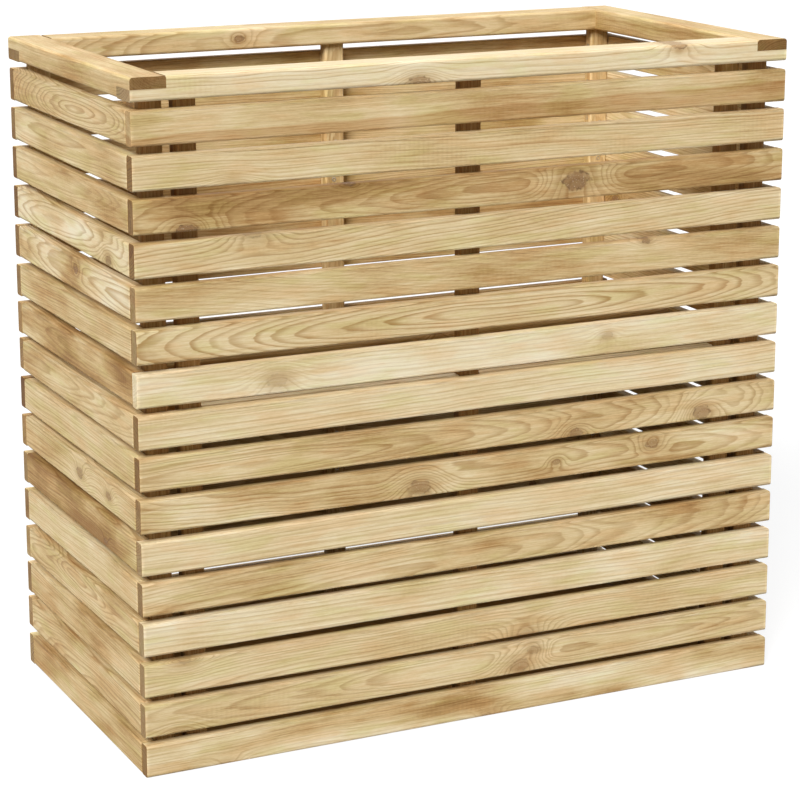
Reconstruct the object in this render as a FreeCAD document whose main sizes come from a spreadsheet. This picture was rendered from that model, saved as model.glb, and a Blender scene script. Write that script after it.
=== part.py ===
import FreeCAD, Part
import Sketcher
import math
import os

# A tall slatted timber planter: four walls of horizontal slats fixed to upright
# battens, a half-lapped rim frame on top and a slatted shelf at mid height.
# The origin is the centre of the footprint, on the ground. X runs left to right,
# Y front to back and Z up. All sizes are in millimetres.

doc = FreeCAD.newDocument("Planter")

# Driving dimensions. Sections are named by their timber: slat, rail or batten.
SIZES = [
    ("planter_width", 1000.0),
    ("planter_depth", 510.0),
    ("slat_width", 45.0),
    ("slat_thick", 19.0),
    ("slat_round", 3.0),
    ("slat_ease", 1.5),
    ("slat_gap", 12.5),
    ("rail_width", 50.0),
    ("rail_thick", 32.0),
    ("rail_round", 4.5),
    ("rail_gap", 15.5),
    ("batten_width", 32.0),
    ("batten_thick", 20.0),
    ("batten_ease", 1.5),
    ("pair_space", 15.0),
    ("shelf_end_clear", 1.0),
    ("screw_head_radius", 4.0),
    ("screw_shank_radius", 2.0),
    ("screw_length", 28.0),
    ("screw_tip", 4.0),
    ("screw_clear", 0.1),
]
WALL_ROWS = 16
SHELF_ROW = 8
SHELF_SLATS = 6

sheet = doc.addObject("Spreadsheet::Sheet", "Sizes")
for row, (alias, value) in enumerate(SIZES, start=1):
    sheet.set("A%d" % row, alias)
    sheet.set("B%d" % row, str(value))
    sheet.setAlias("B%d" % row, alias)
doc.recompute()

# Places that several pieces share, worked out from the sheet.
LEFT = "(-Sizes.planter_width / 2)"
RIGHT = "(Sizes.planter_width / 2)"
FRONT = "(-Sizes.planter_depth / 2)"
BACK = "(Sizes.planter_depth / 2)"
INNER_LEFT = "(%s + Sizes.slat_thick)" % LEFT
INNER_RIGHT = "(%s - Sizes.slat_thick)" % RIGHT
INNER_FRONT = "(%s + Sizes.slat_thick)" % FRONT
INNER_BACK = "(%s - Sizes.slat_thick)" % BACK
PITCH = "(Sizes.slat_width + Sizes.slat_gap)"
RIM_BOTTOM = "(%d * %s - Sizes.slat_gap + Sizes.rail_gap)" % (WALL_ROWS, PITCH)

# The battens stand flat against the front and back walls, one in each corner and
# one in the middle. The front wall has a second pair a little way in.
BATTEN_BACK = "(%s - Sizes.batten_thick)" % INNER_BACK
BATTEN_RIGHT = "(%s - Sizes.batten_width)" % INNER_RIGHT
BATTEN_MIDDLE = "(-Sizes.batten_width / 2)"
PAIR_LEFT = "(%s + Sizes.batten_width + Sizes.pair_space)" % INNER_LEFT
PAIR_RIGHT = "(%s - Sizes.batten_width - Sizes.pair_space)" % BATTEN_RIGHT

# The shelf is level with the top of a slat row. Its slats lie across bearers that
# reach from the front battens to the back ones.
SHELF_TOP = "(%d * %s + Sizes.slat_width)" % (SHELF_ROW, PITCH)
BEARER_TOP = "(%s - Sizes.slat_thick)" % SHELF_TOP
SHELF_FRONT = "(%s + Sizes.batten_thick)" % INNER_FRONT
SHELF_DEPTH = "(%s - %s)" % (BATTEN_BACK, SHELF_FRONT)
SHELF_GAP = "((%s - %d * Sizes.slat_width) / %d)" % (SHELF_DEPTH, SHELF_SLATS, SHELF_SLATS + 1)

# The rim's half-laps, and the countersunk screws that hold them from below.
HALF_RAIL = "(Sizes.rail_thick / 2)"
HEAD_HEIGHT = "(Sizes.screw_head_radius - Sizes.screw_shank_radius)"
HOLE_RADIUS = "(Sizes.screw_shank_radius + Sizes.screw_clear)"
LAP_CENTRE = "(Sizes.rail_width / 2)"

# The plane that a board's section is drawn on, for a board that runs along X, Y or
# Z, and whether its pad is turned round to grow towards the positive side.
SECTION_PLANES = {
    "X": ("YZ_Plane", False),
    "Y": ("XZ_Plane", True),
    "Z": ("XY_Plane", False),
}
SIDE_PLANES = {"X": "XZ_Plane", "Y": "YZ_Plane"}
AXES = {
    "X": FreeCAD.Vector(1, 0, 0),
    "Y": FreeCAD.Vector(0, 1, 0),
    "Z": FreeCAD.Vector(0, 0, 1),
}
# Shares: how close to an axis an edge counts as along it, how near the outermost
# edge another one counts as level with it, and how much of the plain volume a cut
# has to take from a rounded board.
ALONG_SHARE = 0.9
LEVEL_SHARE = 0.99
CUT_SHARE = 0.9

parts = []


def size(alias):
    return float(sheet.get(alias))


def keep(thing, label):
    thing.Label = label
    parts.append(thing)


def place(thing, left, front, bottom):
    thing.setExpression("Placement.Base.x", left)
    thing.setExpression("Placement.Base.y", front)
    thing.setExpression("Placement.Base.z", bottom)


def origin_feature(body, role):
    for feature in body.Origin.OriginFeatures:
        if feature.Role == role:
            return feature
    raise ValueError("no origin feature " + role)


def sketch_on(body, name, role, lift="0"):
    sketch = body.newObject("Sketcher::SketchObject", name)
    sketch.AttachmentSupport = [(origin_feature(body, role), "")]
    sketch.MapMode = "FlatFace"
    sketch.setExpression("AttachmentOffset.Base.z", lift)
    return sketch


def bind(sketch, name, kind, ends, rule):
    number = sketch.addConstraint(Sketcher.Constraint(kind, *ends, 1.0))
    sketch.renameConstraint(number, name)
    sketch.setExpression("Constraints." + name, rule)


def add_rectangle(sketch, name, across, up, left="0", bottom="0"):
    """Draw a rectangle with its width, height and lower left corner bound."""
    first = sketch.GeometryCount
    corners = [FreeCAD.Vector(*spot, 0) for spot in ((1, 1), (2, 1), (2, 2), (1, 2))]
    for step in range(4):
        side = Part.LineSegment(corners[step], corners[(step + 1) % 4])
        sketch.addGeometry(side, False)
    for step in range(4):
        following = first + (step + 1) % 4
        direction = "Horizontal" if step % 2 == 0 else "Vertical"
        sketch.addConstraint(Sketcher.Constraint("Coincident", first + step, 2, following, 1))
        sketch.addConstraint(Sketcher.Constraint(direction, first + step))
    bind(sketch, name + "_across", "DistanceX", (first, 1, first, 2), across)
    bind(sketch, name + "_up", "DistanceY", (first + 1, 1, first + 1, 2), up)
    bind(sketch, name + "_left", "DistanceX", (-1, 1, first, 1), left)
    bind(sketch, name + "_bottom", "DistanceY", (-1, 1, first, 1), bottom)


def add_circle(sketch, name, across, up, radius):
    """Draw a circle with its centre and radius bound."""
    ring = sketch.addGeometry(Part.Circle(FreeCAD.Vector(1, 1, 0), AXES["Z"], 1), False)
    bind(sketch, name + "_radius", "Radius", (ring,), radius)
    bind(sketch, name + "_across", "DistanceX", (-1, 1, ring, 3), across)
    bind(sketch, name + "_up", "DistanceY", (-1, 1, ring, 3), up)


def edges_along(shape, axis, side=None):
    """Name the edges along an axis: all of them, or the outermost ones on one side."""
    found = []
    for number, edge in enumerate(shape.Edges, start=1):
        if abs(edge.tangentAt(edge.FirstParameter).dot(AXES[axis])) > ALONG_SHARE:
            found.append(("Edge%d" % number, edge.CenterOfMass))
    if side is None:
        return [name for name, middle in found]
    reaches = [(middle - shape.CenterOfGravity).dot(side) for name, middle in found]
    level = LEVEL_SHARE * max(reaches)
    return [name for (name, middle), reach in zip(found, reaches) if reach > level]


def board(label, axis, across, up, length):
    """Make a square-edged board that runs along an axis."""
    body = doc.addObject("PartDesign::Body", label)
    role, turned = SECTION_PLANES[axis]
    section = sketch_on(body, label + "_section", role)
    add_rectangle(section, "section", across, up)
    pad = body.newObject("PartDesign::Pad", label + "_pad")
    pad.Profile = section
    pad.Reversed = turned
    pad.setExpression("Length", length)
    body.Tip = pad
    doc.recompute()
    return body


def dress(body, kind, edges, property_name, rule):
    """Round or chamfer edges of the board as it stands."""
    before = body.Tip
    dressing = body.newObject("PartDesign::" + kind, "%s_%s" % (body.Name, kind.lower()))
    dressing.Base = (before, edges)
    dressing.setExpression(property_name, rule)
    body.Tip = dressing
    doc.recompute()


def slat(label, axis, length, outward):
    """A planed slat: rounded edges on its outer face, narrow chamfers on the inner."""
    body = board(label, axis, "Sizes.slat_thick", "Sizes.slat_width", length)
    dress(body, "Fillet", edges_along(body.Shape, axis, outward), "Radius", "Sizes.slat_round")
    dress(body, "Chamfer", edges_along(body.Shape, axis, -outward), "Size", "Sizes.slat_ease")
    return body


def eased_board(label, axis, across, up, length):
    body = board(label, axis, across, up, length)
    dress(body, "Chamfer", edges_along(body.Shape, axis), "Size", "Sizes.batten_ease")
    return body


def repeat(body, axis, count, spacing):
    """Repeat the whole board along an axis, as separate solids of one group."""
    row = body.newObject("PartDesign::LinearPattern", body.Name + "_row")
    row.TransformMode = "Whole shape"
    row.Direction = (origin_feature(body, axis + "_Axis"), [""])
    row.Mode = "Spacing"
    row.Occurrences = count
    row.setExpression("Offset", spacing)
    body.Tip = row


def long_walls():
    """Front and back walls: full-width slats, numbered from the top row down."""
    for wall, front, outward in (("front", FRONT, -AXES["Y"]), ("back", INNER_BACK, AXES["Y"])):
        for number in range(1, WALL_ROWS + 1):
            label = "%s_slat_%02d" % (wall, number)
            piece = slat(label, "X", "Sizes.planter_width", outward)
            place(piece, LEFT, front, "%d * %s" % (WALL_ROWS - number, PITCH))
            keep(piece, label)


def short_walls():
    """Side walls: shorter slats held between the front and back slats."""
    walls = (("left_slats", LEFT, -AXES["X"]), ("right_slats", INNER_RIGHT, AXES["X"]))
    for label, left, outward in walls:
        group = slat(label, "Y", "%s - %s" % (INNER_BACK, INNER_FRONT), outward)
        repeat(group, "Z", WALL_ROWS, PITCH)
        place(group, left, INNER_FRONT, "0")
        keep(group, label)


def battens():
    """Uprights behind the slats, from the ground to the underside of the rim."""
    spots = [
        ("corner_batten_front_left", INNER_LEFT, INNER_FRONT),
        ("corner_batten_front_right", BATTEN_RIGHT, INNER_FRONT),
        ("corner_batten_back_left", INNER_LEFT, BATTEN_BACK),
        ("corner_batten_back_right", BATTEN_RIGHT, BATTEN_BACK),
        ("mid_batten_front", BATTEN_MIDDLE, INNER_FRONT),
        ("mid_batten_back", BATTEN_MIDDLE, BATTEN_BACK),
        ("pair_batten_left", PAIR_LEFT, INNER_FRONT),
        ("pair_batten_right", PAIR_RIGHT, INNER_FRONT),
    ]
    for label, left, front in spots:
        width, thick = "Sizes.batten_width", "Sizes.batten_thick"
        upright = eased_board(label, "Z", width, thick, RIM_BOTTOM)
        place(upright, left, front, "0")
        keep(upright, label)


def shelf():
    """Slats on three cross bearers, with ledgers level with them along both walls."""
    thick, width = "Sizes.batten_thick", "Sizes.batten_width"
    bearers = [
        ("shelf_bearer_left", INNER_LEFT),
        ("shelf_bearer_middle", "-Sizes.batten_thick / 2"),
        ("shelf_bearer_right", "%s - Sizes.batten_thick" % INNER_RIGHT),
    ]
    for label, left in bearers:
        bearer = eased_board(label, "Y", thick, width, SHELF_DEPTH)
        place(bearer, left, SHELF_FRONT, "%s - Sizes.batten_width" % BEARER_TOP)
        keep(bearer, label)
    ledgers = [
        ("front_ledgers", "(%s + Sizes.batten_width)" % PAIR_LEFT, INNER_FRONT),
        ("back_ledgers", "(%s + Sizes.batten_width)" % INNER_LEFT, BATTEN_BACK),
    ]
    for label, left, front in ledgers:
        length = "(%s - %s)" % (BATTEN_MIDDLE, left)
        group = eased_board(label, "X", thick, width, length)
        repeat(group, "X", 2, "%s + Sizes.batten_width" % length)
        place(group, left, front, "%s - Sizes.batten_width" % SHELF_TOP)
        keep(group, label)
    for number in range(1, SHELF_SLATS + 1):
        label = "shelf_slat_%d" % number
        length = "%s - %s - 2 * Sizes.shelf_end_clear" % (INNER_RIGHT, INNER_LEFT)
        piece = eased_board(label, "X", "Sizes.slat_width", "Sizes.slat_thick", length)
        behind = "%d * %s + %d * Sizes.slat_width" % (number, SHELF_GAP, number - 1)
        front = "%s + %s" % (SHELF_FRONT, behind)
        place(piece, "%s + Sizes.shelf_end_clear" % INNER_LEFT, front, BEARER_TOP)
        keep(piece, label)


def check_removed(rail, before, expected):
    removed = before - rail.Shape.Volume
    if not CUT_SHARE * expected < removed < expected / CUT_SHARE:
        raise ValueError("%s: a cut took %.0f, not %.0f" % (rail.Name, removed, expected))


def cut_laps(rail, axis, length, lap_bottom):
    """Take half of the thickness away over one rail width at both ends."""
    before = rail.Shape.Volume
    notches = sketch_on(rail, rail.Name + "_laps", SIDE_PLANES[axis])
    for name, start in (("near", "0"), ("far", "%s - Sizes.rail_width" % length)):
        add_rectangle(notches, name, "Sizes.rail_width", HALF_RAIL, start, lap_bottom)
    cut = rail.newObject("PartDesign::Pocket", rail.Name + "_lap_cut")
    cut.Profile = notches
    cut.Type = "ThroughAll"
    cut.SideType = "Symmetric"
    rail.Tip = cut
    doc.recompute()
    check_removed(rail, before, size("rail_width") ** 2 * size("rail_thick"))


def lap_centres(length):
    """One screw in the middle of each lap, at both ends of a rail."""
    return [LAP_CENTRE, "%s - %s" % (length, LAP_CENTRE)]


def drill(rail, axis, length, start, depth):
    """Drill upwards from a level of the rail for the shanks of the lap screws."""
    before = rail.Shape.Volume
    holes = sketch_on(rail, rail.Name + "_holes", "XY_Plane", start)
    for name, along in zip(("near", "far"), lap_centres(length)):
        spot = (along, LAP_CENTRE) if axis == "X" else (LAP_CENTRE, along)
        add_circle(holes, name, *spot, HOLE_RADIUS)
    bore = rail.newObject("PartDesign::Pocket", rail.Name + "_bore")
    bore.Profile = holes
    bore.Reversed = True
    bore.setExpression("Length", depth)
    rail.Tip = bore
    doc.recompute()
    radius = size("screw_shank_radius") + size("screw_clear")
    check_removed(rail, before, 2 * math.pi * radius ** 2 * bore.Length.Value)


def countersink(rail):
    """Open the mouths of the holes under the rail for the screw heads."""
    mouths = []
    for number, edge in enumerate(rail.Shape.Edges, start=1):
        whole_circle = isinstance(edge.Curve, Part.Circle) and edge.isClosed()
        if whole_circle and edge.CenterOfMass.z < rail.Shape.CenterOfGravity.z / 2:
            mouths.append("Edge%d" % number)
    dress(rail, "Chamfer", mouths, "Size", HEAD_HEIGHT)


def rim_rail(label, axis, length, lap_bottom):
    rail = board(label, axis, "Sizes.rail_width", "Sizes.rail_thick", length)
    dress(rail, "Fillet", edges_along(rail.Shape, axis), "Radius", "Sizes.rail_round")
    cut_laps(rail, axis, length, lap_bottom)
    return rail


def rim_frame():
    """The rim: the side rails' upper halves lie on the long rails' lower halves."""
    width, depth = "Sizes.planter_width", "Sizes.planter_depth"
    for label, front in (("front_rail", FRONT), ("back_rail", "%s - Sizes.rail_width" % BACK)):
        rail = rim_rail(label, "X", width, HALF_RAIL)
        drill(rail, "X", width, "0", HALF_RAIL)
        countersink(rail)
        place(rail, LEFT, front, RIM_BOTTOM)
        keep(rail, label)
    for label, left in (("left_rail", LEFT), ("right_rail", "%s - Sizes.rail_width" % RIGHT)):
        rail = rim_rail(label, "Y", depth, "0")
        pilot_depth = "Sizes.screw_length + Sizes.screw_clear - %s" % HALF_RAIL
        drill(rail, "Y", depth, HALF_RAIL, pilot_depth)
        place(rail, left, FRONT, RIM_BOTTOM)
        keep(rail, label)


def screw(name):
    """A countersunk screw that points up, with its head flush at the bottom."""
    head = doc.addObject("Part::Cone", name + "_head")
    head.setExpression("Radius1", "Sizes.screw_head_radius")
    head.setExpression("Radius2", "Sizes.screw_shank_radius")
    head.setExpression("Height", HEAD_HEIGHT)
    shank = doc.addObject("Part::Cylinder", name + "_shank")
    shank.setExpression("Radius", "Sizes.screw_shank_radius")
    shank.setExpression("Height", "Sizes.screw_length - Sizes.screw_tip - " + HEAD_HEIGHT)
    shank.setExpression("Placement.Base.z", HEAD_HEIGHT)
    tip = doc.addObject("Part::Cone", name + "_tip")
    tip.setExpression("Radius1", "Sizes.screw_shank_radius")
    tip.setExpression("Radius2", "0")
    tip.setExpression("Height", "Sizes.screw_tip")
    tip.setExpression("Placement.Base.z", "Sizes.screw_length - Sizes.screw_tip")
    whole = doc.addObject("Part::MultiFuse", name)
    whole.Shapes = [head, shank, tip]
    return whole


def lap_screws():
    """The screws of all four corners, driven upwards through the laps."""
    screws = []
    for across in lap_centres("Sizes.planter_width"):
        for along in lap_centres("Sizes.planter_depth"):
            piece = screw("lap_screw_%d" % (len(screws) + 1))
            place(piece, "%s + %s" % (LEFT, across), "%s + %s" % (FRONT, along), RIM_BOTTOM)
            screws.append(piece)
    group = doc.addObject("Part::Compound", "lap_screws")
    group.Links = screws
    keep(group, "lap_screws")


def export():
    doc.recompute()
    for thing in doc.Objects:
        if "Invalid" in thing.State or "Error" in thing.State:
            raise ValueError("%s did not build: %s" % (thing.Name, thing.State))
    for thing in parts:
        if thing.Shape.isNull() or not thing.Shape.isValid():
            raise ValueError("%s has no valid shape" % thing.Label)
    os.makedirs("parts", exist_ok=True)
    for thing in parts:
        thing.Shape.exportStep("parts/%s.step" % thing.Label)
    solids = sum(len(thing.Shape.Solids) for thing in parts)
    print("%d sub-parts, %d solids" % (len(parts), solids))


long_walls()
short_walls()
battens()
shelf()
rim_frame()
lap_screws()
export()
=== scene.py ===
# %% [markdown]
# A slatted softwood planter, dressed for its portrait. The construction comes in as a
# fixed frame: every batten, rail and slat is already at its real size and place. What
# is missing is what makes it wood: planed boards with eased edges that are never quite
# straight, growth rings that run through each board, knots, end grain and screws.

# %% Load the frame
import math
import random

import bmesh
import bpy
from mathutils import Euler, Matrix, Vector


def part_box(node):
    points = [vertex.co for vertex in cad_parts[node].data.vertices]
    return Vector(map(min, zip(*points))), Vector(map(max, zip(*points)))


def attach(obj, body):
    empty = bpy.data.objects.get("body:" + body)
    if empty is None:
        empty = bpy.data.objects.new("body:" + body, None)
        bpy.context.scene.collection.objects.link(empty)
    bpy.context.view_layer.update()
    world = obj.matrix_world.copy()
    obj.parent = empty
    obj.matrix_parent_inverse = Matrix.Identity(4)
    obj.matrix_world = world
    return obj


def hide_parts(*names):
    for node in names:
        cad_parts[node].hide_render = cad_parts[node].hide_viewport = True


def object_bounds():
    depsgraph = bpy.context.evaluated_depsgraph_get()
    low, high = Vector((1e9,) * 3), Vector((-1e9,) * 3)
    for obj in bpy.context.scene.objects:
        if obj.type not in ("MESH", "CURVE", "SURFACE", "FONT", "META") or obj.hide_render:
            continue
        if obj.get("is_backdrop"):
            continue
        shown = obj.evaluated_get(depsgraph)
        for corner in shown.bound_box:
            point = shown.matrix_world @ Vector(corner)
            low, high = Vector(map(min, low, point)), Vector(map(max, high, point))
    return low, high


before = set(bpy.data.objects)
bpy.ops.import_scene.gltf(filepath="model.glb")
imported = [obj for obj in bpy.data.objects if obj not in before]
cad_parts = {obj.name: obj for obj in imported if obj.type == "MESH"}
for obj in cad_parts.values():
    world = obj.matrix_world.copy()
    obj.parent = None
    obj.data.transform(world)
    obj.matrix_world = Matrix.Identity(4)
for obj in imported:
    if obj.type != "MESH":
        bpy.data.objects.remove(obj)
cad_low, cad_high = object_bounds()
print("planter", [round(side, 3) for side in cad_high - cad_low])

# %% [markdown]
# The photograph was taken from the front left, a little above the rim. The camera
# stands nearly four metres away with a long lens, so the rows run together only slowly.

# %% Camera
CAMERA_PLACE = Vector((-1.605, -3.325, 1.380))
CAMERA_TURN = math.radians(25.85)
CAMERA_DIP = math.radians(13.75)
CAMERA_LENS = 115.2
CAMERA_SHIFT = -0.05

camera = bpy.data.objects.new("camera", bpy.data.cameras.new("camera"))
bpy.context.scene.collection.objects.link(camera)
camera.location = CAMERA_PLACE
camera.rotation_euler = (math.radians(90) - CAMERA_DIP, 0, -CAMERA_TURN)
camera.data.lens = CAMERA_LENS
camera.data.shift_y = CAMERA_SHIFT
bpy.context.scene.camera = camera
print("camera", round(CAMERA_PLACE.length, 2), "m away")

# %% [markdown]
# Node trees are easier to read as recipes. This small helper adds a node, plugs in the
# values or sockets that it is given, and hands back the result.

# %% A helper for node recipes
class Recipe:
    def __init__(self, tree):
        self.tree = tree

    def plug(self, made, socket, value):
        if isinstance(value, bpy.types.NodeSocket):
            self.tree.links.new(value, made.inputs[socket])
        elif value is not None:
            made.inputs[socket].default_value = value

    def node(self, kind, inputs=(), **settings):
        made = self.tree.nodes.new(kind)
        for name, value in settings.items():
            setattr(made, name, value)
        for socket, value in inputs.items() if isinstance(inputs, dict) else enumerate(inputs):
            self.plug(made, socket, value)
        return made

    def math(self, operation, *values, clamp=False):
        return self.node("ShaderNodeMath", values, operation=operation, use_clamp=clamp).outputs[0]

    def vector(self, operation, *values, out=0):
        return self.node("ShaderNodeVectorMath", values, operation=operation).outputs[out]

    def noise(self, place, scale=1.0, detail=2.0, out="Fac"):
        values = {"Vector": place, "Scale": scale, "Detail": detail}
        return self.node("ShaderNodeTexNoise", values).outputs[out]

    def span(self, value, low, high, to_low=0.0, to_high=1.0, smooth=True):
        kind = "SMOOTHSTEP" if smooth else "LINEAR"
        values = (value, low, high, to_low, to_high)
        return self.node("ShaderNodeMapRange", values, interpolation_type=kind).outputs[0]

    def blend(self, factor, first, second, how="MIX"):
        made = self.node("ShaderNodeMix", data_type="RGBA", blend_type=how)
        for socket, value in ((0, factor), (6, first), (7, second)):
            self.plug(made, socket, value)
        return made.outputs[2]

    def grain(self, place, squeeze, scale=1.0, detail=2.0, out="Fac"):
        """Noise that is finer or coarser along, into and across the board."""
        return self.noise(self.vector("MULTIPLY", place, squeeze), scale, detail, out)

    def swing(self, value, width):
        """A noise value that now swings evenly round zero."""
        return self.math("MULTIPLY_ADD", value, width, -width / 2)

    def looked_at(self):
        """One for rays straight from the camera, off shiny things or through clear ones."""
        path = self.node("ShaderNodeLightPath").outputs
        straight = self.math("MAXIMUM", path["Is Camera Ray"], path["Is Glossy Ray"])
        return self.math("MAXIMUM", straight, path["Is Transmission Ray"])

    def ramp(self, value, stops):
        made = self.node("ShaderNodeValToRGB", (value,))
        elements = made.color_ramp.elements
        while len(elements) < len(stops):
            elements.new(0.5)
        for element, (place, colour) in zip(elements, stops):
            element.position = place
            element.color = colour
        return made.outputs[0]


# %% [markdown]
# One large soft lamp shines over the photographer's left shoulder. It hits the front
# and the left wall alike, and lights the top of every slat through the gap above it,
# which draws the pale line along each row. A weak lamp from the right opens the
# shadows, and one from behind, over the far rim, reaches the ledge inside that shows
# as a bright strip below the seventh slat. The white surroundings add little light, so
# that the inside stays dim, but the camera, and anything shiny, sees them as white.

# %% Studio
KEY_HEIGHT = math.radians(37)
KEY_SIDE = math.radians(47)
FILL_HEIGHT = math.radians(25)
FILL_SIDE = math.radians(-35)
RIM_HEIGHT = math.radians(52)
RIM_SIDE = math.radians(-165)
KEY_LEVEL = 4.0
FILL_LEVEL = 0.2
RIM_LEVEL = 1.3
SURROUNDINGS = 0.15
KEY_SPREAD = math.radians(26)
SIDE_SPREAD = math.radians(30)
LAMP_HEIGHT = 3.0


def soft_sun(name, height, side, spread, level):
    lamp = bpy.data.objects.new(name, bpy.data.lights.new(name, "SUN"))
    lamp.data.energy = level
    lamp.data.angle = spread
    lamp.rotation_euler = (math.radians(90) - height, 0, -side)
    lamp.location.z = LAMP_HEIGHT
    bpy.context.scene.collection.objects.link(lamp)


soft_sun("key_lamp", KEY_HEIGHT, KEY_SIDE, KEY_SPREAD, KEY_LEVEL)
soft_sun("fill_lamp", FILL_HEIGHT, FILL_SIDE, SIDE_SPREAD, FILL_LEVEL)
soft_sun("rim_lamp", RIM_HEIGHT, RIM_SIDE, SIDE_SPREAD, RIM_LEVEL)

world = bpy.data.worlds.new("studio")
bpy.context.scene.world = world
world.use_nodes = True
backdrop = world.node_tree.nodes["Background"]
backdrop.inputs["Color"].default_value = (1, 1, 1, 1)
r = Recipe(world.node_tree)
brightness = r.span(r.looked_at(), 0.0, 1.0, SURROUNDINGS, 1.0, smooth=False)
world.node_tree.links.new(brightness, backdrop.inputs["Strength"])
bpy.context.scene.view_settings.view_transform = "Standard"

# %% [markdown]
# The floor runs out of the picture on every side. A white floor would throw half of the
# lamp's light back up under the slats, which the photograph doesn't show, so it is a
# grey one that glows for the camera, up to white. The planter's soft shadow stays. Under
# the open bottom the floor is painted brown, a painted shade that keeps the lowest gaps
# dark and warm.

# %% Floor
FLOOR_HALF = 20.0
FLOOR_GREY = 0.25
FLOOR_GLOW = 0.80
INSIDE_EDGE = 0.02
GREY_PAPER = (FLOOR_GREY, FLOOR_GREY, FLOOR_GREY, 1)
# Painted shade: the brown that the floor takes inside the planter's outline.
SHADE_BROWN_PAPER = (0.62, 0.43, 0.21, 1)
floor_mesh = bpy.data.meshes.new("floor")
floor_shape = bmesh.new()
bmesh.ops.create_grid(floor_shape, x_segments=1, y_segments=1, size=FLOOR_HALF)
floor_shape.to_mesh(floor_mesh)
floor_shape.free()
floor = bpy.data.objects.new("floor", floor_mesh)
bpy.context.scene.collection.objects.link(floor)
paper = bpy.data.materials.new("studio_paper")
paper.use_nodes = True
paper_shader = paper.node_tree.nodes["Principled BSDF"]
paper_shader.inputs["Roughness"].default_value = 0.9
paper_shader.inputs["Specular IOR Level"].default_value = 0.0
paper_shader.inputs["Emission Color"].default_value = (1, 1, 1, 1)
floor_mesh.materials.append(paper)
floor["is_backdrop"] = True

# %% [markdown]
# With the helper, the floor's paint is short to write: brown inside the planter's own
# outline as painted shade, grey outside it, and glowing there for the camera and in anything shiny.

# %% The floor's paint
r = Recipe(paper.node_tree)
spot = r.node("ShaderNodeSeparateXYZ", (r.node("ShaderNodeTexCoord").outputs["Object"],)).outputs
beyond_x = r.math("SUBTRACT", r.math("ABSOLUTE", spot["X"]), cad_high.x - INSIDE_EDGE)
beyond_y = r.math("SUBTRACT", r.math("ABSOLUTE", spot["Y"]), cad_high.y - INSIDE_EDGE)
outside = r.span(r.math("MAXIMUM", beyond_x, beyond_y), 0.0, INSIDE_EDGE)
glow = r.math("MULTIPLY", r.math("MULTIPLY", r.looked_at(), outside), FLOOR_GLOW)
paper.node_tree.links.new(glow, paper_shader.inputs["Emission Strength"])
# The brown inside the outline is painted shade, the grey outside is the plain floor.
paper_tint_and_shade = r.blend(outside, SHADE_BROWN_PAPER, GREY_PAPER)
paper.node_tree.links.new(paper_tint_and_shade, paper_shader.inputs["Base Color"])

# %% [markdown]
# Softwood is a stack of cones: each year adds a pale early layer and a thin dark late
# layer round the pith. So the grain isn't painted on. Every board knows where the
# pith of its tree would lie, in its own coordinates, and the colour follows from the
# distance to it. A pith close behind the face gives cathedral arches, one off to the
# side gives straight lines, and the ends show the rings without extra work. Knots push
# the rings aside and lie in them as ovals.

# %% The softwood group
WOOD_TONES = [
    (0.0, (0.870, 0.775, 0.560, 1)),
    (0.25, (0.785, 0.640, 0.390, 1)),
    (0.5, (0.665, 0.500, 0.258, 1)),
    (0.75, (0.490, 0.312, 0.125, 1)),
    (1.0, (0.320, 0.176, 0.058, 1)),
]
LATE_TINT = (0.60, 0.46, 0.31, 1)
HEART_TINT = (0.76, 0.60, 0.46, 1)
OLIVE_TINT = (0.94, 0.97, 0.86, 1)
ROSE_TINT = (1.00, 0.94, 0.90, 1)
# Paler arrises: partly wear, partly a painted highlight on the rounded edges.
WEAR_AND_HIGHLIGHT_TINT = (1.17, 1.18, 1.22, 1)
KNOT_BROWN = (0.270, 0.165, 0.085, 1)
KNOT_RIM = (0.150, 0.080, 0.035, 1)
RESIN = (0.560, 0.470, 0.350, 1)
END_TINT = (0.33, 0.235, 0.13, 1)
END_LATE = (0.50, 0.40, 0.30, 1)

# How fine each pattern is along, into and across the board.
SLOW = (5.0, 4.0, 4.0)
FRAY = (7.0, 120.0, 120.0)
PATCH = (6.0, 18.0, 18.0)
STREAK = (4.0, 220.0, 220.0)
FIBRE = (28.0, 800.0, 800.0)
PORE = (160.0, 900.0, 900.0)
HUE = (7.0, 30.0, 30.0)
CHIP = (22.0, 160.0, 160.0)

# How much of its tone a board gets from each pattern.
PATCH_SHARE = 2.2
STREAK_SHARE = 0.42
FIBRE_SHARE = 0.52
PORE_SHARE = 0.24

# A knot is an oval, drawn out along the board, that pushes the rings round it away.
KNOT_OVAL = (0.62, 0, 1)
KNOT_REACH = -0.16
KNOT_PUSH = 2.4
KNOT_RINGS = 13.0
RAGGED = 1.3
BELL_BASE = 2.718

# Rings drift apart and together. The planer leaves waves about 7 mm apart.
RING_DRIFT = 2.6
RING_FRAY = 0.8
PLANER_WAVES = 880.0
ARRIS = (0.0050, 0.0020)
BASE_ROUGHNESS = 0.66

GROUP_INPUTS = [
    ("Place", "Vector", (0, 0, 0)),
    ("End grain", "Float", 0.0),
    ("Half size", "Vector", (0.5, 0.0095, 0.0225)),
    ("Pith", "Vector", (0, 0.05, 0.0)),
    ("Lean", "Vector", (0, 0, 0)),
    ("Wander", "Float", 0.01),
    ("Ring", "Float", 0.003),
    ("Contrast", "Float", 0.6),
    ("Tone", "Float", 0.4),
    ("Mottle", "Float", 0.5),
    ("Heart", "Float", 0.0),
    ("Seed", "Float", 0.0),
    ("End tone", "Float", 0.8),
    ("Knot colour", "Float", 0.8),
    ("Knot A", "Vector", (9, 9, 0.001)),
    ("Knot B", "Vector", (9, 9, 0.001)),
    ("Knot C", "Vector", (9, 9, 0.001)),
]


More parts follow.
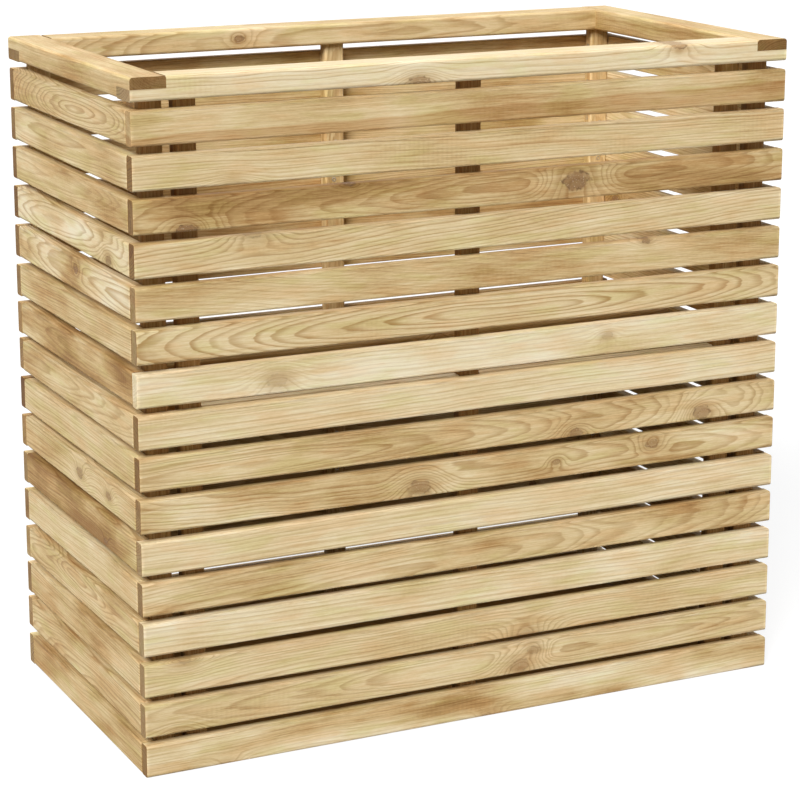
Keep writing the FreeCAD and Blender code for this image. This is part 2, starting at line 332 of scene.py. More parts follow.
def softwood_group():
    group = bpy.data.node_groups.new("softwood", "ShaderNodeTree")
    for name, kind, default in GROUP_INPUTS:
        kind = "NodeSocket" + kind
        socket = group.interface.new_socket(name, in_out="INPUT", socket_type=kind)
        socket.default_value = default
    for name, kind in (("Color", "Color"), ("Roughness", "Float"), ("Height", "Float")):
        group.interface.new_socket(name, in_out="OUTPUT", socket_type="NodeSocket" + kind)
    r = Recipe(group)
    given = r.node("NodeGroupInput").outputs
    result = r.node("NodeGroupOutput").inputs
    shift = r.node("ShaderNodeCombineXYZ", [given["Seed"]] * 3).outputs[0]
    place = r.vector("ADD", given["Place"], shift)
    pith = r.node("ShaderNodeSeparateXYZ", (given["Pith"],)).outputs
    lean = r.node("ShaderNodeSeparateXYZ", (given["Lean"],)).outputs
    here = r.node("ShaderNodeSeparateXYZ", (given["Place"],)).outputs
    half = r.node("ShaderNodeSeparateXYZ", (given["Half size"],)).outputs

    # The pith line leans through the board, bends away from it and wanders.
    along = r.math("SUBTRACT", here["X"], pith["X"])
    bend = r.math("MULTIPLY", r.math("MULTIPLY", along, along), lean["X"])
    deep = r.math("ADD", r.math("MULTIPLY_ADD", along, lean["Y"], pith["Y"]), bend)
    high = r.math("MULTIPLY_ADD", along, lean["Z"], pith["Z"])
    slow = r.grain(place, SLOW, detail=1.5, out="Color")
    slow = r.vector("SUBTRACT", slow, (0.5, 0.5, 0.5))
    slow = r.vector("SCALE", slow, None, None, given["Wander"])
    centre = r.vector("ADD", r.node("ShaderNodeCombineXYZ", (0.0, deep, high)).outputs[0], slow)
    out = r.vector("MULTIPLY", r.vector("SUBTRACT", given["Place"], centre), (0, 1, 1))
    radius = r.vector("LENGTH", out, out=1)

    # Knots push the rings outwards and leave an oval.
    ragged = r.swing(r.noise(place, 90.0, 4.0), RAGGED)
    oval = None
    swirl = None
    for name in ("Knot A", "Knot B", "Knot C"):
        knot = r.node("ShaderNodeSeparateXYZ", (given[name],)).outputs
        spot = r.node("ShaderNodeCombineXYZ", (knot["X"], 0.0, knot["Y"])).outputs[0]
        away = r.vector("MULTIPLY", r.vector("SUBTRACT", given["Place"], spot), KNOT_OVAL)
        far = r.math("DIVIDE", r.vector("LENGTH", away, out=1), knot["Z"])
        fall = r.math("MULTIPLY", r.math("MULTIPLY", far, far), KNOT_REACH)
        fall = r.math("POWER", BELL_BASE, fall)
        radius = r.math("MULTIPLY_ADD", r.math("MULTIPLY", fall, knot["Z"]), KNOT_PUSH, radius)
        far = r.math("ADD", far, ragged)
        oval = far if oval is None else r.math("MINIMUM", oval, far)
        swirl = fall if swirl is None else r.math("MAXIMUM", swirl, fall)

    # Years differ in width and depth of colour, and each line frays along the fibres.
    fray = r.grain(place, FRAY, detail=3.0)
    years = r.math("DIVIDE", radius, given["Ring"])
    uneven = r.node("ShaderNodeCombineXYZ", (r.math("MULTIPLY", years, 0.37), given["Seed"], 0.0))
    drift = r.math("MULTIPLY", r.noise(uneven.outputs[0], detail=1.0), RING_DRIFT)
    years = r.math("ADD", r.math("ADD", years, drift), r.swing(fray, RING_FRAY))
    season = r.math("FRACT", years)
    late = r.math("MULTIPLY", r.span(season, 0.40, 0.88), r.span(season, 0.90, 1.0, 1.0, 0.0))
    year = r.node("ShaderNodeTexWhiteNoise", {"W": r.math("FLOOR", years)}, noise_dimensions="1D")
    strength = r.span(year.outputs["Value"], 0.0, 1.0, 0.45, 1.0, smooth=False)
    late = r.math("MULTIPLY", r.math("MULTIPLY", late, strength), given["Contrast"], clamp=True)

    # Slow patches, streaks and fibres shift the tone of the whole board.
    patch = r.grain(place, PATCH, detail=3.0)
    fibre = r.grain(place, FIBRE, detail=3.0)
    tone = r.math("MULTIPLY", r.swing(patch, PATCH_SHARE), given["Mottle"])
    tone = r.math("ADD", given["Tone"], tone)
    tone = r.math("ADD", tone, r.swing(r.grain(place, STREAK), STREAK_SHARE))
    tone = r.math("ADD", tone, r.swing(fibre, FIBRE_SHARE))
    tone = r.math("ADD", tone, r.swing(r.grain(place, PORE), PORE_SHARE), clamp=True)
    wood = r.ramp(tone, WOOD_TONES)
    wood = r.blend(late, wood, LATE_TINT, "MULTIPLY")
    heart = r.span(r.math("SUBTRACT", given["Heart"], radius), -0.0012, 0.0012)
    wood = r.blend(r.math("MULTIPLY", heart, 0.7), wood, HEART_TINT, "MULTIPLY")
    hue = r.grain(place, HUE, scale=1.7)
    wood = r.blend(r.span(hue, 0.50, 0.68), wood, OLIVE_TINT, "MULTIPLY")
    wood = r.blend(r.span(hue, 0.48, 0.34), wood, ROSE_TINT, "MULTIPLY")

    # Planing and handling leave the arrises rougher here and there. They are also painted paler,
    # partly as wear and partly as a painted highlight where the rounded edges catch the light.
    near = []
    for name in ("X", "Y", "Z"):
        left_over = r.math("SUBTRACT", half[name], r.math("ABSOLUTE", here[name]))
        near.append(r.span(left_over, *ARRIS))
    long_arris = r.math("MULTIPLY", near[1], near[2])
    end_arris = r.math("MULTIPLY", near[0], r.math("MAXIMUM", near[1], near[2]))
    arris = r.math("MAXIMUM", long_arris, end_arris)
    wear_and_highlight = r.math("MULTIPLY", arris, r.span(r.grain(place, CHIP, detail=4.0), 0.25, 0.70))
    wood = r.blend(wear_and_highlight, wood, WEAR_AND_HIGHLIGHT_TINT, "MULTIPLY")

    # Round a knot the wood darkens. The knot itself has its own fine rings.
    wood = r.blend(r.span(swirl, 0.25, 1.0, 0.0, 0.55), wood, LATE_TINT, "MULTIPLY")
    fine = r.math("SINE", r.math("MULTIPLY", r.math("ADD", oval, ragged), KNOT_RINGS))
    tinted = r.blend(1.0, wood, LATE_TINT, "MULTIPLY")
    knot = r.blend(r.math("MULTIPLY_ADD", fine, 0.18, 0.40), KNOT_BROWN, tinted)
    specks = r.span(r.noise(place, 420.0, 2.0), 0.60, 0.68, 0.0, 0.7)
    knot = r.blend(specks, knot, RESIN)
    mask = r.math("MULTIPLY", r.span(oval, 1.2, 0.7), given["Knot colour"])
    wood = r.blend(mask, wood, knot)
    edge = r.math("MULTIPLY", r.span(oval, 1.2, 1.0), r.span(oval, 0.75, 1.0))
    broken = r.span(r.noise(place, 130.0, 2.0), 0.40, 0.62)
    edge = r.math("MULTIPLY", r.math("MULTIPLY", edge, broken), given["Knot colour"])
    wood = r.blend(edge, wood, KNOT_RIM)

    # Cut across, the fibres drink light.
    end = r.blend(late, r.blend(1.0, wood, END_TINT, "MULTIPLY"), END_LATE, "MULTIPLY")
    wood = r.blend(r.math("MULTIPLY", given["End grain"], given["End tone"]), wood, end)
    group.links.new(wood, result["Color"])
    rough = r.math("MULTIPLY_ADD", late, -0.10, BASE_ROUGHNESS)
    group.links.new(r.math("MULTIPLY_ADD", wear_and_highlight, 0.14, rough), result["Roughness"])

    # The planer leaves faint waves across the board, strong in some places only.
    wave = r.math("SINE", r.math("MULTIPLY", here["X"], PLANER_WAVES))
    wave = r.math("MULTIPLY", wave, r.span(patch, 0.45, 0.70, 0.0, 0.25))
    height = r.math("MULTIPLY_ADD", late, 0.45, r.math("MULTIPLY", fibre, 0.9))
    height = r.math("ADD", height, wave)
    group.links.new(r.math("SUBTRACT", height, r.math("MULTIPLY", edge, 0.6)), result["Height"])
    return group


softwood = softwood_group()
print("softwood group:", len(softwood.nodes), "nodes")

# %% [markdown]
# A board's material places the group on that board: a Mapping node moves the pattern to
# the board's middle and turns it so that X runs along the board, Y into it from its
# outer face and Z across it. The end grain is where the surface faces along the board.

# %% A material for one board
BUMP_DEPTH = 0.0005
BUMP_STRENGTH = 0.6
DULLNESS = 0.25
TURNS = {
    "front": (0, 0, 0),
    "back": (0, 0, math.pi),
    "left": (0, 0, -math.pi / 2),
    "right": (0, 0, math.pi / 2),
    "upright": (0, -math.pi / 2, 0),
    "lying": (math.pi / 2, 0, 0),
}


def board_material(name, low, high, turn, values):
    material = bpy.data.materials.new(name)
    material.use_nodes = True
    r = Recipe(material.node_tree)
    link = material.node_tree.links.new
    shader = material.node_tree.nodes["Principled BSDF"]
    coordinates = r.node("ShaderNodeTexCoord").outputs
    mapping = r.node("ShaderNodeMapping", (coordinates["Object"],), vector_type="TEXTURE")
    mapping.inputs["Location"].default_value = (low + high) / 2
    mapping.inputs["Rotation"].default_value = turn
    board_axes = Euler(turn).to_matrix()
    along = board_axes @ Vector((1, 0, 0))
    half = board_axes.transposed() @ ((high - low) / 2)
    facing = r.math("ABSOLUTE", r.vector("DOT_PRODUCT", coordinates["Normal"], along, out=1))
    wood = r.node("ShaderNodeGroup", node_tree=softwood)
    link(mapping.outputs[0], wood.inputs["Place"])
    link(r.span(facing, 0.5, 0.9), wood.inputs["End grain"])
    wood.inputs["Half size"].default_value = [abs(side) for side in half]
    for socket, value in values.items():
        wood.inputs[socket].default_value = value
    bump = r.node("ShaderNodeBump", {"Height": wood.outputs["Height"]})
    bump.inputs["Distance"].default_value = BUMP_DEPTH
    bump.inputs["Strength"].default_value = BUMP_STRENGTH
    link(wood.outputs["Color"], shader.inputs["Base Color"])
    link(wood.outputs["Roughness"], shader.inputs["Roughness"])
    link(bump.outputs[0], shader.inputs["Normal"])
    shader.inputs["Specular IOR Level"].default_value = DULLNESS
    return material


# %% [markdown]
# Most boards come from anywhere in the tree. A random generator with its own seed
# picks a pith, a ring width and a tone for each, so that every run gives the same pile.

# %% Boards from anywhere in the tree
WHITISH, PALE, LIGHT, TAN, BROWN = 0.20, 0.27, 0.40, 0.52, 0.72


def any_wood(seed, tone=None, knots=0.4):
    rng = random.Random(seed)
    side = rng.choice((-1, 1))
    values = {
        "Tone": rng.choice((PALE, LIGHT, LIGHT, TAN, TAN, BROWN)) if tone is None else tone,
        "Mottle": rng.uniform(0.3, 0.7),
        "Ring": rng.uniform(0.0030, 0.0050),
        "Contrast": rng.uniform(0.45, 0.9),
        "Wander": rng.uniform(0.006, 0.02),
        "End tone": rng.uniform(0.4, 1.0),
        "Knot colour": rng.uniform(0.5, 0.9),
        "Seed": rng.uniform(0, 50),
    }
    if rng.random() < 0.5:
        along, deep = rng.uniform(-0.3, 0.3), rng.uniform(0.01, 0.04)
        values["Pith"] = (along, deep, side * rng.uniform(0.04, 0.08))
        values["Lean"] = (0, rng.uniform(-0.03, 0.03), rng.uniform(-0.03, 0.03))
    else:
        along, deep = rng.uniform(-0.4, 0.4), rng.uniform(0.0, 0.012)
        values["Pith"] = (along, deep, side * rng.uniform(0, 0.01))
        bend, drop = rng.uniform(0.05, 0.15), rng.uniform(-0.02, 0.02)
        values["Lean"] = (bend, drop, rng.uniform(-0.02, 0.02))
    if rng.random() < knots:
        size = rng.uniform(0.003, 0.008)
        values["Knot A"] = (rng.uniform(-0.4, 0.4), rng.uniform(-0.02, 0.02), size)
    return values


# %% [markdown]
# A slat is a planed batten of softwood. It could be a stretched cube, but the light
# gives that away: real slats have rounded edges, slightly broken ends, and a little bow
# and tilt from being screwed down by hand. The cube is bevelled first, then cut across
# in a few places so that it can bend.

# %% A bent and eased board
OUTER_ROUND = 0.0035
INNER_ROUND = 0.0015
END_ROUND = 0.0008
FINE_ROUND = 0.002
BEND_CUTS = 8
FLAT_ENOUGH = 0.9995


def long_edges(shape, axis, outward, outer, size):
    reach = abs(size.dot(outward))
    found = []
    for edge in shape.edges:
        run = (edge.verts[1].co - edge.verts[0].co).normalized()
        side = (edge.verts[0].co + edge.verts[1].co).dot(outward)
        if abs(run[axis]) > 0.99 and side * (1 if outer else -1) > 0.9 * reach:
            found.append(edge)
    return found


def round_off(shape, edges, offset, steps):
    bmesh.ops.bevel(shape, geom=edges, offset=offset, offset_type="OFFSET", segments=steps,
                    affect="EDGES", profile=0.5, material=-1)


def board_shape(low, high, axis, outward, rounds=(OUTER_ROUND, INNER_ROUND), bow=0.0, tilt=0.0):
    """A board between two corners, rounded along its faces and bent up or down."""
    size, middle = high - low, (low + high) / 2
    shape = bmesh.new()
    bmesh.ops.create_cube(shape, size=1.0)
    bmesh.ops.scale(shape, vec=size, verts=shape.verts)
    for outer, offset in ((True, rounds[0]), (False, rounds[1])):
        edges = long_edges(shape, axis, outward, outer, size)
        round_off(shape, edges, offset, 4 if offset > FINE_ROUND else 2)
    ends = []
    for edge in shape.edges:
        if all(abs(abs(vert.co[axis]) - size[axis] / 2) < 1e-6 for vert in edge.verts):
            ends.append(edge)
    round_off(shape, ends, END_ROUND, 2)
    normal = Vector((0, 0, 0))
    normal[axis] = 1
    for step in range(1, BEND_CUTS if bow or tilt else 1):
        cut = normal * (step / BEND_CUTS - 0.5) * size[axis]
        everything = shape.verts[:] + shape.edges[:] + shape.faces[:]
        bmesh.ops.bisect_plane(shape, geom=everything, plane_co=cut, plane_no=normal)
    for vert in shape.verts:
        share = vert.co[axis] / size[axis]
        vert.co.z += bow * (1 - 4 * share * share) + tilt * 2 * share
    bmesh.ops.translate(shape, vec=middle, verts=shape.verts)
    bmesh.ops.recalc_face_normals(shape, faces=shape.faces)
    return shape


def finished(name, shape, material, replaced=()):
    shape.normal_update()
    for face in shape.faces:
        face.smooth = max(abs(part) for part in face.normal) < FLAT_ENOUGH
    mesh = bpy.data.meshes.new(name)
    shape.to_mesh(mesh)
    shape.free()
    mesh.materials.append(material)
    piece = bpy.data.objects.new(name, mesh)
    bpy.context.scene.collection.objects.link(piece)
    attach(piece, "root")
    if replaced:
        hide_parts(*replaced)


# %% [markdown]
# Hand work shows in the walls. The damp wood has swollen by a hair, the rows are spread
# so that the gap under the rim is like the others, and each slat bows a little between
# its screws. A few were screwed down a shade too high or too low, which narrows the
# slits where one can see right through.

# %% One slat of a wall
WOBBLE = random.Random(7)
ON_THE_GROUND = 0.001
SPREAD = 0.00325
SWELLING = 0.0007
NUDGES = {
    "front_board_11": -0.0010,
    "back_board_06": -0.0020,
    "back_board_08": 0.0022,
    "back_board_13": -0.0015,
    "back_board_15": 0.0022,
}


def slat(name, low, high, axis, outward, turn, values, replaced):
    low, high = Vector(low), Vector(high)
    low[axis] += WOBBLE.uniform(0.0001, 0.0009)
    high[axis] -= WOBBLE.uniform(0.0001, 0.0009)
    bow, tilt = WOBBLE.uniform(-0.0009, 0.0009), WOBBLE.uniform(-0.0006, 0.0006)
    if name in NUDGES:
        bow, tilt = 0.0, 0.0
    lift = low.z * SPREAD + NUDGES.get(name, 0.0)
    if low.z < ON_THE_GROUND:
        bow, tilt = abs(bow), 0.0
    else:
        low.z += lift - SWELLING
    high.z += lift + SWELLING
    material = board_material(name + "_wood", low, high, TURNS[turn], values)
    shape = board_shape(low, high, axis, Vector(outward), bow=bow, tilt=tilt)
    finished(name, shape, material, replaced)


# %% [markdown]
# The front wall is the face of the piece, so each of its sixteen slats is chosen to
# look like the one in the photograph, from the top row down: how dark it is, whether
# its lines run straight or arch, and where its knots are.

# %% Front slats
FRONT_SLATS = [
    # olive tan, brown heartwood under a pale band on the right
    {"Tone": TAN, "Mottle": 0.5, "Pith": (0.15, 0.02, -0.060), "Lean": (0, 0, 0.02),
     "Heart": 0.068, "Ring": 0.0040, "Contrast": 0.35, "Wander": 0.022, "Seed": 3.1,
     "End tone": 0.3},
    # light, with long fine lines
    {"Tone": LIGHT, "Mottle": 0.3, "Pith": (0, 0.03, 0.075), "Lean": (0, 0, -0.015),
     "Ring": 0.0044, "Contrast": 0.7, "Wander": 0.010, "Seed": 8.3, "End tone": 1.0,
     "Knot A": (-0.36, -0.034, 0.009), "Knot colour": 0.3},
    # the darkest, with a large resinous knot and a torn one at its lower edge
    {"Tone": BROWN, "Mottle": 0.6, "Pith": (0.16, 0.012, 0.004), "Lean": (0.10, 0, 0.02),
     "Ring": 0.0040, "Contrast": 0.7, "Wander": 0.012, "Seed": 12.7, "End tone": 0.9,
     "Knot A": (0.156, 0.001, 0.0125), "Knot B": (-0.425, -0.021, 0.0085),
     "Knot C": (-0.19, 0.026, 0.006), "Knot colour": 0.9},
    # straight lines, then a brown flame and hill-shaped arcs
    {"Tone": LIGHT, "Mottle": 0.4, "Pith": (-0.30, 0.022, 0.045), "Lean": (0, 0, 0.08),
     "Heart": 0.034, "Ring": 0.0048, "Contrast": 0.8, "Wander": 0.014, "Seed": 17.9,
     "End tone": 1.0, "Knot A": (-0.33, 0.030, 0.010), "Knot colour": 0.3},
    # mid tan, slanting lines at the left end, a small red knot on the top edge
    {"Tone": TAN, "Mottle": 0.45, "Pith": (-0.45, 0.016, -0.030), "Lean": (0, 0.02, -0.10),
     "Ring": 0.0044, "Contrast": 0.45, "Wander": 0.014, "Seed": 21.2, "End tone": 0.7,
     "Knot A": (0.273, 0.022, 0.0045), "Knot colour": 0.7},
    # nested cathedral arches
    {"Tone": LIGHT, "Mottle": 0.3, "Pith": (0.048, 0.004, 0.001), "Lean": (0.125, 0, 0.006),
     "Ring": 0.0034, "Contrast": 0.95, "Wander": 0.006, "Seed": 26.4, "End tone": 0.7},
    # whitish
    {"Tone": WHITISH, "Mottle": 0.5, "Pith": (-0.2, 0.012, 0.03), "Lean": (0.03, 0, 0.02),
     "Ring": 0.0046, "Contrast": 0.35, "Wander": 0.014, "Seed": 30.6, "End tone": 0.1,
     "Knot A": (-0.30, -0.004, 0.009), "Knot B": (0.21, 0.004, 0.005), "Knot colour": 0.2},
    # pale and plain
    {"Tone": PALE, "Mottle": 0.35, "Pith": (0.2, 0.03, -0.06), "Lean": (0, 0, 0.02),
     "Ring": 0.0046, "Contrast": 0.55, "Wander": 0.012, "Seed": 33.8, "End tone": 1.0},
    # tan, with an arch near the left end
    {"Tone": TAN, "Mottle": 0.4, "Pith": (-0.36, 0.004, -0.004), "Lean": (0.10, 0, 0.01),
     "Ring": 0.0033, "Contrast": 0.7, "Wander": 0.010, "Seed": 37.3, "End tone": 1.0,
     "Knot A": (0.162, -0.018, 0.006), "Knot B": (0.373, -0.012, 0.009), "Knot colour": 0.6},
    # dark streaks round a large swirl
    {"Tone": 0.56, "Mottle": 0.7, "Pith": (-0.1, 0.014, 0.014), "Lean": (0.06, 0, -0.03),
     "Ring": 0.0038, "Contrast": 0.8, "Wander": 0.016, "Seed": 41.5, "End tone": 0.8,
     "Knot A": (-0.087, -0.010, 0.010), "Knot B": (0.29, 0.008, 0.006),
     "Knot C": (0.13, 0.0, 0.004), "Knot colour": 0.5},
    # pale and plain
    {"Tone": PALE, "Mottle": 0.35, "Pith": (0.0, 0.02, 0.05), "Lean": (0, 0, 0.01),
     "Ring": 0.0050, "Contrast": 0.5, "Wander": 0.014, "Seed": 44.9, "End tone": 0.8},
    # tan, with a slanting flame left of the middle
    {"Tone": TAN, "Mottle": 0.6, "Pith": (-0.18, 0.010, -0.018), "Lean": (0.10, 0, 0.05),
     "Heart": 0.018, "Ring": 0.0040, "Contrast": 0.6, "Wander": 0.016, "Seed": 47.2,
     "End tone": 0.9},
    # pale, nearly white at the left
    {"Tone": PALE, "Mottle": 0.45, "Pith": (0.3, 0.025, -0.05), "Lean": (0, 0, -0.02),
     "Ring": 0.0050, "Contrast": 0.5, "Wander": 0.012, "Seed": 52.4, "End tone": 0.8},
    # ring grain at the left end and near the middle
    {"Tone": LIGHT, "Mottle": 0.35, "Pith": (0.09, 0.012, -0.030), "Lean": (0.05, 0, 0),
     "Ring": 0.0036, "Contrast": 0.6, "Wander": 0.012, "Seed": 55.1, "End tone": 0.8,
     "Knot A": (0.085, -0.028, 0.011), "Knot B": (-0.44, 0.028, 0.008), "Knot colour": 0.2},
    # two grown-together knots right of the middle, the same colour as the wood
    {"Tone": LIGHT, "Mottle": 0.35, "Pith": (0.08, 0.010, 0.004), "Lean": (0.06, 0, 0),
     "Ring": 0.0034, "Contrast": 0.65, "Wander": 0.010, "Seed": 58.8, "End tone": 0.8,
     "Knot A": (0.075, -0.010, 0.009), "Knot B": (0.098, 0.010, 0.006),
     "Knot C": (-0.45, -0.028, 0.008), "Knot colour": 0.35},
    # pale, with brown patches
    {"Tone": LIGHT, "Mottle": 0.8, "Pith": (-0.1, 0.016, -0.045), "Lean": (0, 0, 0.03),
     "Ring": 0.0042, "Contrast": 0.45, "Wander": 0.016, "Seed": 61.7, "End tone": 1.0,
     "Knot A": (0.025, -0.026, 0.007), "Knot B": (-0.38, -0.026, 0.006), "Knot colour": 0.3},
]

for row, values in enumerate(FRONT_SLATS):
    low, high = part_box("front_slat_%02d" % (row + 1))
    name = "front_board_%02d" % (row + 1)
    slat(name, low, high, 0, (0, -1, 0), "front", values, ["front_slat_%02d" % (row + 1)])
print("front slats:", len(FRONT_SLATS))

# %% [markdown]
# The other three walls are made the same way. The frame keeps each side wall as one
# node of sixteen slats, so its boards are placed by the rows of the front wall.

# %% Back and side slats
# Tones of the back slats. Rows seven to nine are darker as painted shade, for the inside of the
# back wall that lies in shadow there.
BACK_TONES_AND_SHADE = [
    0.62, 0.60, 0.58, 0.66, 0.68, 0.64, 0.72, 0.78,
    0.78, 0.70, 0.50, 0.44, 0.58, 0.46, 0.54, 0.50,
]
LEFT_FIGURES = {
    0: {"Pith": (0.05, 0.004, 0.0), "Lean": (0.45, 0, 0.02), "Contrast": 0.9, "Wander": 0.008},
    3: {"Pith": (-0.05, 0.006, 0.004), "Lean": (0.40, 0, 0.03), "Contrast": 0.8, "Mottle": 0.9},
    4: {"Knot A": (0.02, 0.006, 0.005), "Mottle": 1.0, "Knot colour": 0.7},
    9: {"Knot A": (0.01, 0.0, 0.007), "Knot B": (0.13, -0.002, 0.006), "Contrast": 0.8,
        "Knot colour": 0.6},
    10: {"Mottle": 1.0, "Contrast": 0.9},
    12: {"Pith": (0.1, 0.010, 0.010), "Wander": 0.035, "Contrast": 0.8},
    14: {"Pith": (0.08, 0.012, -0.020), "Lean": (0.2, 0, 0), "Contrast": 0.8},
}
LEFT_TONES = [
    0.44, 0.47, 0.56, 0.38, 0.36, 0.49, 0.74, 0.45,
    0.43, 0.48, 0.74, 0.43, 0.55, 0.54, 0.55, 0.58,
]
BACK_SEED, LEFT_SEED, RIGHT_SEED = 200, 300, 400
ROWS = len(FRONT_SLATS)
lowest, lowest_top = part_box("front_slat_16")
slat_height = lowest_top.z - lowest.z
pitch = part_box("front_slat_15")[0].z - lowest.z
for row in range(ROWS):
    low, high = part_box("back_slat_%02d" % (row + 1))
    name = "back_board_%02d" % (row + 1)
    values = any_wood(BACK_SEED + row, BACK_TONES_AND_SHADE[row])
    slat(name, low, high, 0, (0, 1, 0), "back", values, ["back_slat_%02d" % (row + 1)])
for side, seed, outward in (("left", LEFT_SEED, (-1, 0, 0)), ("right", RIGHT_SEED, (1, 0, 0))):
    wall_low, wall_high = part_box(side + "_slats")
    for row in range(ROWS):
        bottom = pitch * (ROWS - 1 - row)
        low = Vector((wall_low.x, wall_low.y, bottom))
        high = Vector((wall_high.x, wall_high.y, bottom + slat_height))
        values = any_wood(seed + row, LEFT_TONES[row] if side == "left" else None)
        if side == "left":
            values.update(LEFT_FIGURES.get(row, {}))
        name = "%s_board_%02d" % (side, row + 1)
        slat(name, low, high, 1, outward, side, values, [side + "_slats"])
print("rows are", round(pitch * 1000, 1), "mm apart")

# %% [markdown]
# The battens behind the slats are sawn from thicker stock and planed with rounder
# edges, which catch the light in the gaps. They stand upright, so their grain does too.
# The ledgers rise a little above the shelf, so that their tops show in the gap below the
# seventh slat. They get the palest wood tone, partly as a painted highlight for the light on those
# tops.

# %% Battens, ledgers, bearers and shelf
BATTEN_ROUND = 0.004
# Painted shade: the battens behind the front wall are painted darker than those at the back.
FRONT_BATTEN_SHADE_TONE = 0.92
BACK_BATTEN_TONE = 0.58
BATTEN_SEED, LEDGER_SEED = 500, 600
LEDGER_LIFT = 0.0035
# The palest tone is partly a painted highlight on the ledgers' tops.
LEDGER_LIT_TONE = 0.15
OUTWARD = {"lying": (0, 0, 1), "upright": (0, -1, 0), "front": (0, -1, 0), "left": (-1, 0, 0)}


def plain_board(name, low, high, axis, turn, values, replaced, inner=BATTEN_ROUND):
    material = board_material(name + "_wood", low, high, TURNS[turn], values)
    shape = board_shape(low, high, axis, Vector(OUTWARD[turn]), (BATTEN_ROUND, inner))
    finished(name, shape, material, replaced)


for number, node in enumerate(sorted(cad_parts)):
    low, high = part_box(node)
    if "batten" in node:
        # The darker tone of the front battens is painted shade.
        tone = FRONT_BATTEN_SHADE_TONE if low.y < 0 else BACK_BATTEN_TONE
        values = any_wood(BATTEN_SEED + number, tone)
        plain_board(node + "_board", low, high, 2, "upright", values, [node])
    elif node.startswith("shelf_bearer"):
        values = any_wood(BATTEN_SEED + number, TAN)
        plain_board(node + "_board", low, high, 1, "left", values, [node])
    elif node.startswith("shelf_slat"):
        values = any_wood(BATTEN_SEED + number)
        plain_board(node + "_board", low, high, 0, "lying", values, [node],
                    INNER_ROUND)
    elif node.endswith("ledgers"):
        middle_low, middle_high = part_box("mid_batten_" + node.split("_")[0])
        halves = (("left", low.x, middle_low.x), ("right", middle_high.x, high.x))
        for part, start, stop in halves:
            part_low = Vector((start, low.y, low.z + LEDGER_LIFT))
            part_high = Vector((stop, high.y, high.z + LEDGER_LIFT))
            values = any_wood(LEDGER_SEED + number + (part == "left"), LEDGER_LIT_TONE, knots=0)
            name = "%s_%s_board" % (node, part)
            plain_board(name, part_low, part_high, 0, "front", values, [node])

# %% [markdown]
# The rails keep their solids, because the half-laps at their corners are already cut
# in them. They only get wood.

# %% Rails
RAIL_WOODS = {
    "front_rail": {"Tone": WHITISH, "Mottle": 0.3, "Pith": (-0.09, 0.03, 0.05),
                   "Lean": (0, 0, 0.01), "Ring": 0.0040, "Contrast": 0.65, "Wander": 0.012,
                   "Seed": 70.3,
                   "Knot A": (-0.088, -0.014, 0.009), "Knot B": (0.32, 0.018, 0.008),
                   "Knot colour": 0.6},
    "back_rail": {"Tone": 0.47, "Mottle": 0.4, "Pith": (0.1, 0.006, 0.0), "Lean": (0.10, 0, 0.02),
                  "Ring": 0.0036, "Contrast": 0.7, "Wander": 0.012, "Seed": 73.9,
                  "Knot A": (-0.16, 0.0, 0.005), "Knot colour": 0.7},
    "left_rail": {"Tone": 0.60, "Mottle": 0.4, "Pith": (0, 0.02, 0.04), "Lean": (0, 0, 0.02),
                  "Ring": 0.0032, "Contrast": 0.4, "Wander": 0.012, "Seed": 77.1, "End tone": 0.9},
    "right_rail": {"Tone": 0.56, "Mottle": 0.4, "Pith": (0, 0.02, -0.04), "Lean": (0, 0, 0.02),
                   "Ring": 0.0032, "Contrast": 0.5, "Wander": 0.012, "Seed": 81.6, "End tone": 1.0},
}

for node, values in RAIL_WOODS.items():
    low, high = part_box(node)
    turn = TURNS["left" if node in ("left_rail", "right_rail") else "front"]
    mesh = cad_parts[node].data
    mesh.materials.clear()
    mesh.materials.append(board_material(node + "_wood", low, high, turn, values))

# %% [markdown]
# Zinc-plated screws hold it all together. They are driven from the inside, so that the
# outside stays clean: one through the batten into each slat. Only the countersunk
# heads show. Each is a small disc, inset twice, with its middle pressed in.

# %% Screws
HEAD_RADIUS = 0.0036
HEAD_SIDES = 12
HEAD_SEAT = 0.00002
HEAD_PROUD = 0.0003
HEAD_DISH = 0.0012
HEAD_SLOPE, HEAD_FLAT, HEAD_WALL = 0.0005, 0.0011, 0.0006
ZINC_BRIGHT = (0.62, 0.58, 0.50, 1)
ZINC_DULL = (0.42, 0.38, 0.30, 1)
SIDE_SCREW_UP = 0.008

zinc = bpy.data.materials.new("zinc_plate")
zinc.use_nodes = True
zinc_recipe = Recipe(zinc.node_tree)
zinc_shader = zinc.node_tree.nodes["Principled BSDF"]
zinc_place = zinc_recipe.node("ShaderNodeTexCoord").outputs["Object"]
cloudy = zinc_recipe.noise(zinc_place, 700.0, 2.0)
zinc_colour = zinc_recipe.blend(cloudy, ZINC_BRIGHT, ZINC_DULL)
zinc_roughness = zinc_recipe.span(cloudy, 0.3, 0.7, 0.3, 0.5)
zinc.node_tree.links.new(zinc_colour, zinc_shader.inputs["Base Color"])
zinc.node_tree.links.new(zinc_roughness, zinc_shader.inputs["Roughness"])
zinc_shader.inputs["Metallic"].default_value = 0.9


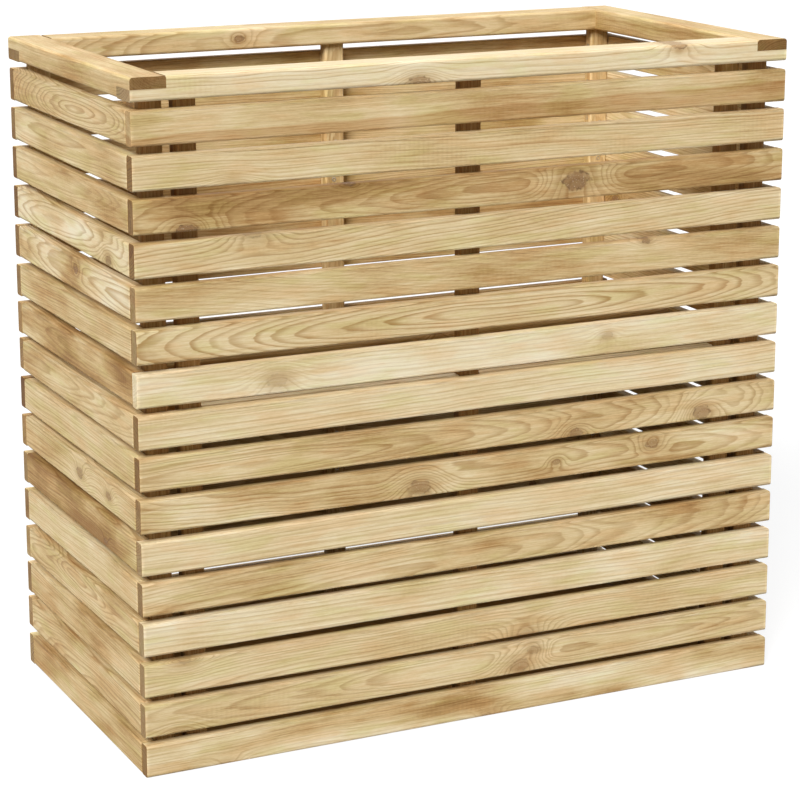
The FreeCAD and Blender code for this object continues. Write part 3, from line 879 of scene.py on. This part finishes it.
def screw_heads(name, places, towards):
    """Heads at the given places, each facing the same way."""
    shape = bmesh.new()
    turn = Vector((0, 0, 1)).rotation_difference(Vector(towards)).to_matrix().to_4x4()
    for place in places:
        seat = Matrix.Translation(place) @ turn
        disc = bmesh.ops.create_circle(shape, cap_ends=True, segments=HEAD_SIDES,
                                       radius=HEAD_RADIUS, matrix=seat)
        cap = disc["verts"][0].link_faces[0]
        bmesh.ops.translate(shape, vec=Vector(towards) * HEAD_SEAT, verts=cap.verts)
        bmesh.ops.inset_individual(shape, faces=[cap], thickness=HEAD_SLOPE)
        bmesh.ops.translate(shape, vec=Vector(towards) * HEAD_PROUD, verts=cap.verts)
        bmesh.ops.inset_individual(shape, faces=[cap], thickness=HEAD_FLAT)
        bmesh.ops.inset_individual(shape, faces=[cap], thickness=HEAD_WALL)
        bmesh.ops.translate(shape, vec=Vector(towards) * -HEAD_DISH, verts=cap.verts)
    finished(name, shape, zinc)


row_middles = [pitch * row * (1 + SPREAD) + slat_height / 2 for row in range(ROWS)]
total = 0
for node in sorted(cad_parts):
    if "batten" not in node:
        continue
    low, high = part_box(node)
    middle = (low + high) / 2
    into = -1 if middle.y > 0 else 1
    face = low.y if middle.y > 0 else high.y
    places = [Vector((middle.x + WOBBLE.uniform(-0.002, 0.002), face, z)) for z in row_middles]
    screw_heads(node + "_screws", places, (0, into, 0))
    total += len(places)
    if node.startswith("corner"):
        inward = 1 if middle.x < 0 else -1
        face = high.x if middle.x < 0 else low.x
        places = [Vector((face, middle.y, z + SIDE_SCREW_UP)) for z in row_middles]
        screw_heads(node + "_side_screws", places, (inward, 0, 0))
        total += len(places)
tops = []
for number in range(1, 7):
    low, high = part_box("shelf_slat_%d" % number)
    for bearer in ("left", "middle", "right"):
        bearer_low, bearer_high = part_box("shelf_bearer_" + bearer)
        tops.append(Vector(((bearer_low.x + bearer_high.x) / 2, (low.y + high.y) / 2, high.z)))
screw_heads("shelf_screws", tops, (0, 0, 1))
print("screw heads:", total + len(tops))

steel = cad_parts["lap_screws"].data
steel.materials.clear()
steel.materials.append(zinc)

# %% [markdown]
# The finished model's box is printed, as the frame's is near the top. The finished
# model's box has to stay inside the frame's.

# %% Sizes and finish
low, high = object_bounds()
print("visual model", [round(side, 4) for side in high - low])
